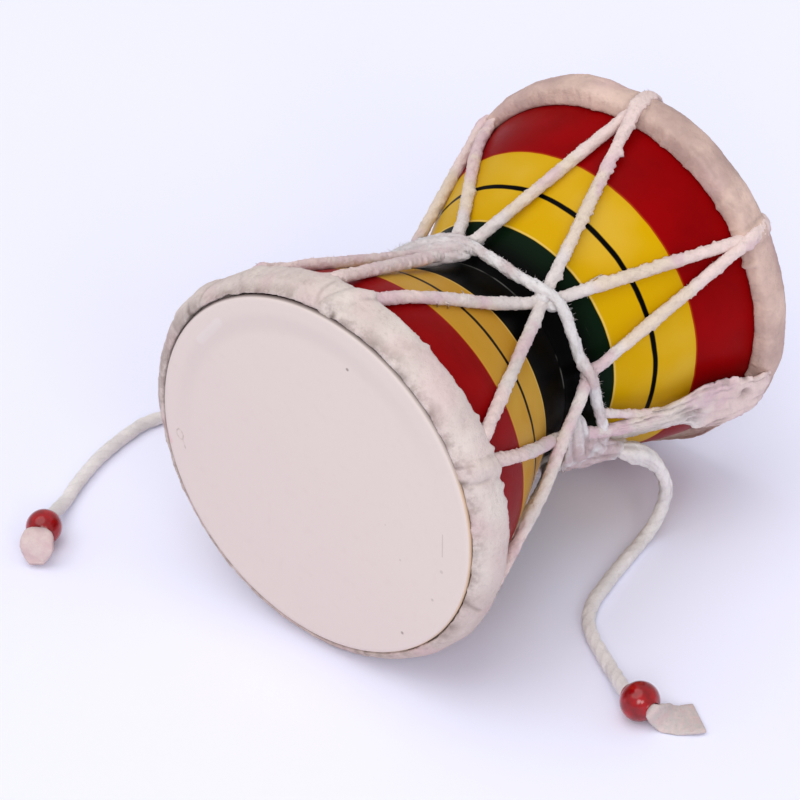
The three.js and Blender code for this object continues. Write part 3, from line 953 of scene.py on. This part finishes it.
class Finish:
    def __init__(self, name):
        self.material = bpy.data.materials.new(name)
        self.material.use_nodes = True
        self.tree = self.material.node_tree
        self.tree.nodes.clear()
        self.shader = self.add("ShaderNodeBsdfPrincipled", {}, {}, whole=True)
        out = self.add("ShaderNodeOutputMaterial", {}, {}, whole=True)
        self.tree.links.new(self.shader.outputs[0], out.inputs[0])

    def add(self, kind, settings, inputs, output=0, whole=False):
        node = self.tree.nodes.new(kind)
        for key, value in settings.items():
            setattr(node, key, value)
        for key, value in inputs.items():
            if isinstance(value, Wire):
                self.tree.links.new(value.socket, node.inputs[key])
            else:
                node.inputs[key].default_value = value
        return node if whole else Wire(self, node.outputs[output])

    # Millimetres from the middle of the drum.
    def place(self):
        coords = self.add("ShaderNodeTexCoord", {}, {}, output=3)
        return self.add("ShaderNodeMapping", {}, {
            "Vector": coords, "Location": tuple(-v / mm for v in drumMiddle), "Scale": (1 / mm,) * 3})

    def stretch(self, place, scale, turn=(0, 0, 0)):
        return self.add("ShaderNodeMapping", {}, {"Vector": place, "Scale": scale, "Rotation": turn})

    def grain(self, place, scale, detail=3.0, rough=0.55):
        return self.add("ShaderNodeTexNoise", {},
                        {"Vector": place, "Scale": scale, "Detail": detail, "Roughness": rough})

    def cells(self, place, scale):
        return self.add("ShaderNodeTexVoronoi", {"feature": "F1"}, {"Vector": place, "Scale": scale})

    def mix(self, share, first, second):
        def full(colour):
            return colour if isinstance(colour, Wire) else (*colour, 1)
        return self.add("ShaderNodeMix", {"data_type": "RGBA"},
                        {0: share, 6: full(first), 7: full(second)}, output=2)

    # Lays each colour over what is there, by its share.
    def layers(self, colour, *coats):
        for share, tint in coats:
            colour = self.mix(share, colour, tint)
        return colour

    def layer(self, name):
        return self.add("ShaderNodeAttribute", {"attribute_name": name}, {}, output=2)

    def wrap(self):
        node = self.add("ShaderNodeUVMap", {"uv_map": "wrap"}, {})
        return node.parts()

    # 1 near the stroke between two points of a flat face, 0 away from it.
    def stroke(self, x, z, start, end, width):
        dx, dz = end[0] - start[0], end[1] - start[1]
        long = dx * dx + dz * dz
        fromX, fromZ = x - start[0], z - start[1]
        share = ((fromX * dx + fromZ * dz) * (1 / long)).most(0).least(1)
        gapX, gapZ = fromX - share * dx, fromZ - share * dz
        return 1 - (gapX * gapX + gapZ * gapZ).ramp((width * 0.5) ** 2, (width * 1.2) ** 2)

    def spot(self, x, z, centre, radius):
        gapX, gapZ = x - centre[0], z - centre[1]
        return 1 - (gapX * gapX + gapZ * gapZ).ramp((radius * 0.4) ** 2, (radius * 1.2) ** 2)

    def bump(self, height, strength, distance):
        return self.add("ShaderNodeBump", {}, {"Height": height, "Strength": strength, "Distance": distance})

    def use(self, **sockets):
        for key, value in sockets.items():
            name = key.replace("_", " ")
            if isinstance(value, Wire):
                self.tree.links.new(value.socket, self.shader.inputs[name])
            else:
                self.shader.inputs[name].default_value = value


def dress(piece, finish):
    piece.data.materials.clear()
    piece.data.materials.append(finish.material)


lacquer = {
    "red": (0.27, 0.0006, 0.0016), "redDeep": (0.2, 0.0005, 0.0012), "yellow": (0.6, 0.34, 0.001),
    # The yellow's darker copy, used on the front half, is painted shade.
    "shadedYellow": (0.5, 0.25, 0.022), "orange": (0.42, 0.05, 0.004), "black": (0.0012, 0.0012, 0.0012),
    "green": (0.003, 0.011, 0.004), "brown": (0.06, 0.035, 0.025),
    # bands, as mm from the waist
    "blackTo": 13.0, "lineAt": 22.95, "lineHalf": 0.6, "redFrom": 33.1, "brownFrom": 53,
}


def shellFinish():
    finish = Finish("lacqueredWood")
    place = finish.place()
    _, y, _ = place.parts()
    depth = y.size() + (finish.grain(place, 0.12, 2) * 0.5 - 0.25)
    fine = finish.grain(place, 0.9, 4)
    redFrom, blackTo, lineHalf = lacquer["redFrom"], lacquer["blackTo"], lacquer["lineHalf"]
    red = finish.layers(
        lacquer["red"], (finish.grain(place, 0.06, 3).ramp(0.3, 0.8), lacquer["redDeep"]),
        ((1 - (depth - redFrom).ramp(0.15, 0.5)) * 0.6, lacquer["orange"]))
    scratches = finish.grain(finish.stretch(place, (0.12, 2.6, 0.12), (0.2, 0.5, 0.15)), 1.0, 5, 0.7)
    seam = (1 - (y + 1.1).size().ramp(0.1, 0.3)) * finish.grain(place, 0.09, 2).ramp(0.5, 0.6)
    black = finish.layers(
        lacquer["black"], (y.ramp(5, 12.5), lacquer["green"]),
        (scratches.ramp(0.66, 0.74) * 0.05, (0.5, 0.5, 0.48)), (seam * 0.16, (0.6, 0.6, 0.55)))
    rings = finish.grain(finish.stretch(place, (0.5, 0.05, 0.5)), 1.2, 5).ramp(0.3, 0.7)
    inside = finish.layer("inside")
    line = (depth - lacquer["lineAt"]).size().ramp(lineHalf - 0.15, lineHalf + 0.15)
    # Painted highlight: a thin light line along the raised edge between the yellow and the black.
    edge = (depth - blackTo - 0.3).size().ramp(0.12, 0.3)
    paint = finish.layers(
        # The front half takes the darker yellow as painted shade.
        lacquer["shadedYellow"], (y.ramp(-16, 12), lacquer["yellow"]),
        (finish.grain(place, 0.05, 2).ramp(0.35, 0.75) * 0.25, (0.7, 0.5, 0.12)),
        (1 - line, lacquer["black"]),
        (depth.ramp(redFrom - 0.12, redFrom + 0.12), red),
        (1 - depth.ramp(blackTo - 0.1, blackTo + 0.2), black),
        ((1 - edge) * 0.45, (0.8, 0.6, 0.2)),
        (depth.ramp(lacquer["brownFrom"], lacquer["brownFrom"] + 1), lacquer["brown"]),
        (inside, finish.mix(rings, (0.42, 0.25, 0.12), (0.55, 0.36, 0.19))))
    lathe = finish.grain(finish.stretch(place, (0.01, 1.4, 0.01)), 1.0, 3)
    finish.use(Base_Color=paint, Roughness=0.26 + fine * 0.16 + inside * 0.4,
               Normal=finish.bump(lathe * 0.6 + fine * 0.25, 0.25, 0.00012), Specular_IOR_Level=0.03)
    return finish


# Marks on the front skin, as mm across and up from its middle. A speck has its radius and how dark it is.
skinMarks = {
    "specks": [((37.2, -8.6), 0.5, 0.3), ((34.7, -17.6), 0.4, 0.4), ((25.5, -10.9), 0.3, 0.3),
               ((10.6, 33.9), 0.45, 0.9), ((26.1, -31.2), 0.45, 0.8), ((21.2, -3.2), 0.25, 0.2)],
    "loop": [(-40.5, -4.5), (-39.6, -4.9), (-39.1, -6.0), (-39.3, -7.1), (-40.1, -7.2), (-40.9, -6.4),
             (-41.1, -5.3), (-40.5, -4.5)],
    "loopWidth": 0.2,
}


def skinFinish():
    finish = Finish("drumSkin")
    place = finish.place()
    x, y, z = place.parts()
    cream = (x * 0.6 + z * 0.8).ramp(-30, 45) * 0.55 + finish.grain(place, 0.05, 3) * 0.4
    blotch = finish.grain(place, 0.35, 4).ramp(0.52, 0.75) * 0.16
    front = 1 - y.ramp(-1, 1)
    specks = finish.stroke(x, z, (37.4, 1.7), (37.4, -4.3), 0.16) * 0.35
    for centre, radius, depth in skinMarks["specks"]:
        specks = specks.most(finish.spot(x, z, centre, radius) * depth)
    scuff = finish.stroke(x, z, (-39.3, -7.1), (-38.6, -9.2), skinMarks["loopWidth"])
    for start, end in zip(skinMarks["loop"], skinMarks["loop"][1:]):
        scuff = scuff.most(finish.stroke(x, z, start, end, skinMarks["loopWidth"]))
    scuff = scuff * (finish.grain(place, 1.3, 3).ramp(0.42, 0.6) * 0.7 + 0.3)
    light = finish.stroke(x, z, (-32.6, 23.4), (-26.9, 30.6), 1.2) * 0.25
    pink = finish.stroke(x, z, (-44.8, -6.9), (-43.3, -9.1), 0.9) * front * 0.4
    reach = x * x + z * z
    # Painted shade: a faint grey arc inside the rim, towards the top, standing for the skin's curve.
    ring = (1 - ((reach ** 0.5) - 38.5).size().ramp(0.5, 3.5)) * (z * 0.8 - x * 0.3).ramp(-5, 40)
    # Painted light and shade on the skin's rim: dark painted shade in the gap under the lip, turning tan where
    # lit towards the right.
    lit = (x * 0.95 - z * 0.3).ramp(12, 38) * (1 - z.ramp(14, 24))
    shaded = (z - x).ramp(-12, 40) * 0.45 + lit * 0.4 + 0.4
    colour = finish.layers(
        (0.67, 0.56, 0.525), (cream, (0.69, 0.595, 0.535)), (blotch, (0.62, 0.5, 0.47)),
        (light * front, (0.8, 0.75, 0.72)), (specks * front * 0.75, (0.16, 0.11, 0.09)),
        (scuff * front * 0.5, (0.32, 0.22, 0.18)), (pink, (0.7, 0.36, 0.4)), (ring * 0.32, (0.56, 0.47, 0.44)),
        (reach.ramp(44.5 ** 2, 45 ** 2) * shaded, finish.mix(lit, (0.14, 0.1, 0.09), (0.62, 0.42, 0.24))))
    height = finish.cells(place, 1.6) * 0.4 + finish.grain(place, 1.1, 5) * 0.6
    finish.use(Base_Color=colour, Roughness=0.62 + blotch * 0.8, Normal=finish.bump(height, 0.2, 0.0001),
               Specular_IOR_Level=0.3)
    return finish


def bandFinish():
    finish = Finish("hideBand")
    place = finish.place()
    x, y, z = place.parts()
    tone = finish.grain(place, 0.09, 4)
    fine = finish.grain(place, 0.8, 5, 0.65)
    patches = finish.grain(place, 0.22, 6, 0.7)
    flecks = finish.grain(place, 2.2, 3, 0.7)
    front = finish.mix(tone.ramp(0.3, 0.7), (0.64, 0.53, 0.49), (0.73, 0.64, 0.58))
    back = finish.mix(tone.ramp(0.3, 0.7), (0.5, 0.345, 0.3), (0.74, 0.54, 0.45))
    corner = (z - x * 0.9).ramp(38, 62) * 0.5
    grime = y.size().ramp(56.5, 60) * (patches.ramp(0.4, 0.62) + corner).least(1)
    colour = finish.layers(
        front, (y.ramp(-5, 5), back), (patches.ramp(0.52, 0.76) * 0.4, (0.47, 0.37, 0.33)),
        (fine.ramp(0.5, 0.8) * 0.4, (0.42, 0.33, 0.29)), (grime * 0.65, (0.28, 0.21, 0.18)),
        # Painted shade: the band darker towards its underside.
        ((1 - z.ramp(-42, 6)) * 0.55, (0.5, 0.38, 0.34)), (finish.layer("pink") * 0.4, (0.66, 0.42, 0.44)),
        # Painted shade in the creases, tie holes and lip gap, from the hoops' per-point values.
        (finish.layer("paintedShade") * 0.85, (0.13, 0.09, 0.07)), (flecks.ramp(0.68, 0.76) * 0.45, (0.25, 0.19, 0.16)))
    height = finish.grain(place, 0.5, 6, 0.7) * 0.7 + fine * 0.6 + finish.grain(place, 3, 4, 0.7) * 0.25
    finish.use(Base_Color=colour, Roughness=0.78 + tone * 0.15, Normal=finish.bump(height, 0.75, 0.0007),
               Specular_IOR_Level=0.2)
    return finish


# The cords' hide. Where it is stained: mm from the drum's middle, how far round it, and how strongly.
cordHide = {
    "stains": [((31.5, 1, -13), 14, 0.85), ((44, 33, -8), 9, 0.6), ((-8, -22, 38), 24, 0.5)],
    "tan": (0.82, 0.63, 0.42), "rose": (0.94, 0.66, 0.6), "speck": (0.42, 0.34, 0.33),
    # The last colour is the painted shade laid in creases and folds.
    "groove": (0.4, 0.33, 0.32), "thread": (0.84, 0.8, 0.77), "paintedShade": (0.2, 0.13, 0.12),
}


def cordFinish(name, pitch, pale, stain):
    finish = Finish(name)
    place = finish.place()
    x, y, z = place.parts()
    around, along, _ = finish.wrap()
    tone = finish.grain(place, 0.12, 4)
    fine = finish.grain(place, 1.4, 5, 0.7)
    strand = ((around * 2 + along * (1 / pitch)) * (4 * pi)).wave()
    threads = finish.grain(place, 3.2, 3, 0.7)
    depth = y.size()
    colour = finish.mix(tone.ramp(0.3, 0.7), pale, tuple(c * 0.86 for c in pale))
    if stain:
        over = (1 - (depth - 23).size().ramp(8, 12)) * z.ramp(-16, 0) * (y.ramp(-12, 8) * 0.4 + 0.12)
        colour = finish.layers(
            colour, (over, cordHide["tan"]), (depth.ramp(31, 36) * 0.5, cordHide["rose"]),
            (finish.grain(place, 0.07, 3).ramp(0.5, 0.64) * 0.7, stain))
        for near, reach, share in cordHide["stains"]:
            gaps = [axis - middle for axis, middle in zip((x, y, z), near)]
            apart = gaps[0] * gaps[0] + gaps[1] * gaps[1] + gaps[2] * gaps[2]
            broken = finish.grain(place, 0.25, 4).ramp(0.3, 0.55)
            patch = (1 - apart.ramp((reach * 0.45) ** 2, reach ** 2)) * broken
            colour = finish.mix(patch * share, colour, stain)
    colour = finish.layers(
        colour, (fine.ramp(0.48, 0.74) * 0.26, cordHide["speck"]),
        (strand.ramp(0.5, 1) * 0.08, cordHide["groove"]), (threads.ramp(0.58, 0.72) * 0.3, cordHide["thread"]),
        # Painted shade in the folds and creases of the flap, the wad and the strikers' roots.
        (finish.layer("paintedShade") * 0.8, cordHide["paintedShade"]))
    height = strand * 0.15 + fine + threads * 0.6
    finish.use(Base_Color=colour, Roughness=0.84 + fine * 0.12, Normal=finish.bump(height, 0.85, 0.0005),
               Specular_IOR_Level=0.15)
    return finish


def beadFinish():
    finish = Finish("beadLacquer")
    place = finish.place()
    tone = finish.grain(place, 0.3, 3)
    colour = finish.mix(tone.ramp(0.3, 0.7), (0.38, 0.0008, 0.004), (0.2, 0.0004, 0.002))
    finish.use(Base_Color=colour, Roughness=0.12 + tone * 0.12,
               Normal=finish.bump(finish.grain(place, 0.5, 2), 0.15, 0.0004),
               Specular_IOR_Level=0.4, Coat_Weight=0.25, Coat_Roughness=0.04)
    return finish


def tabFinish():
    finish = Finish("tabHide")
    place = finish.place()
    tone = finish.grain(place, 0.3, 5, 0.65)
    fine = finish.grain(place, 1.7, 5, 0.7)
    x, _, _ = place.parts()
    rightOne = x.ramp(-1, 1)
    colour = finish.layers(
        (0.58, 0.42, 0.42), (tone.ramp(0.35, 0.65), (0.64, 0.51, 0.48)),
        (rightOne * (finish.grain(place, 0.8, 4).ramp(0.35, 0.6) * 0.7 + 0.15), (0.52, 0.47, 0.45)),
        (fine.ramp(0.52, 0.72) * (rightOne * 0.4 + 0.12), (0.4, 0.3, 0.28)))
    finish.use(Base_Color=colour, Roughness=0.75 + tone * 0.15, Normal=finish.bump(fine + tone, 0.5, 0.0004),
               Specular_IOR_Level=0.25)
    return finish


inside = shellPiece.data.attributes.new("inside", "FLOAT", "POINT")
inside.data.foreach_set("value", [
    1.0 if hypot(v.co.x - axisX, v.co.z - axisZ) / mm < shellRadius(v.co.y / mm) - 1 else 0.0
    for v in shellPiece.data.vertices])
skin = skinFinish()
band = bandFinish()
lace = cordFinish("hideLacing", 9, (0.86, 0.77, 0.73), (0.74, 0.52, 0.56))
waist = cordFinish("hideWaist", 9, (0.88, 0.84, 0.83), (0.6, 0.44, 0.44))
striker = cordFinish("strikerHide", 7.5, (0.93, 0.87, 0.84), None)
red = beadFinish()
tabHide = tabFinish()
for piece, finish, slotName in (
    (shellPiece, shellFinish(), "lacquered_wood"), (frontHead, skin, "hide"), (backHead, skin, "hide"),
    (frontHoop, band, "hide_band"), (backHoop, band, "hide_band"), (lacePiece, lace, "cord"),
    (waistPiece, waist, "cord"), (rightCord, striker, "cord"), (leftCord, striker, "cord"),
    (rightBead, red, "bead_lacquer"), (leftBead, red, "bead_lacquer"), (rightTab, tabHide, "hide"),
    (leftTab, tabHide, "hide"),
):
    dress(piece, finish)
print("finishes set")

studio = {
    "floor": (0.86, 0.86, 1.0), "floorSize": 8, "floorDrop": 0.0002,
    "world": 0.63, "air": (0.93, 0.94, 1, 1), "sun": 1.05, "sunFrom": (-0.25, -0.5, 1.6), "sunSpread": 60,
    # place from the drum, size, watts
    "lamps": [((1.9, -3.0, 2.2), 1.55, 42), ((3.0, -2.0, 1.9), 1.1, 21)],
}
freshStart()
bpy.ops.mesh.primitive_plane_add(size=studio["floorSize"], location=(0, 0, -studio["floorDrop"]))
floor = bpy.context.object
floor.name = "studioFloor"
paper = Finish("floorPaper")
shade = tuple(c * 0.99 for c in studio["floor"])
paper.use(Base_Color=paper.mix(paper.grain(paper.place(), 0.002, 2), studio["floor"], shade),
          Roughness=0.9, Specular_IOR_Level=0.1)
floor.data.materials.append(paper.material)

world = bpy.data.worlds.new("studio")
world.use_nodes = True
sky = world.node_tree.nodes["Background"]
sky.inputs[0].default_value = studio["air"]
sky.inputs[1].default_value = studio["world"]
bpy.context.scene.world = world


def lamp(kind, place, power, size):
    freshStart()
    aim = (-Vector(place)).to_track_quat("-Z", "Y").to_euler()
    bpy.ops.object.light_add(type=kind, location=drumMiddle + Vector(place), rotation=aim)
    made = bpy.context.object
    made.data.energy = power
    if kind == "SUN":
        made.data.angle = size
    else:
        made.data.size = size


lamp("SUN", studio["sunFrom"], studio["sun"], radians(studio["sunSpread"]))
for place, size, power in studio["lamps"]:
    lamp("AREA", place, power, size)
bpy.context.scene.view_settings.view_transform = "Standard"
print("studio lit")
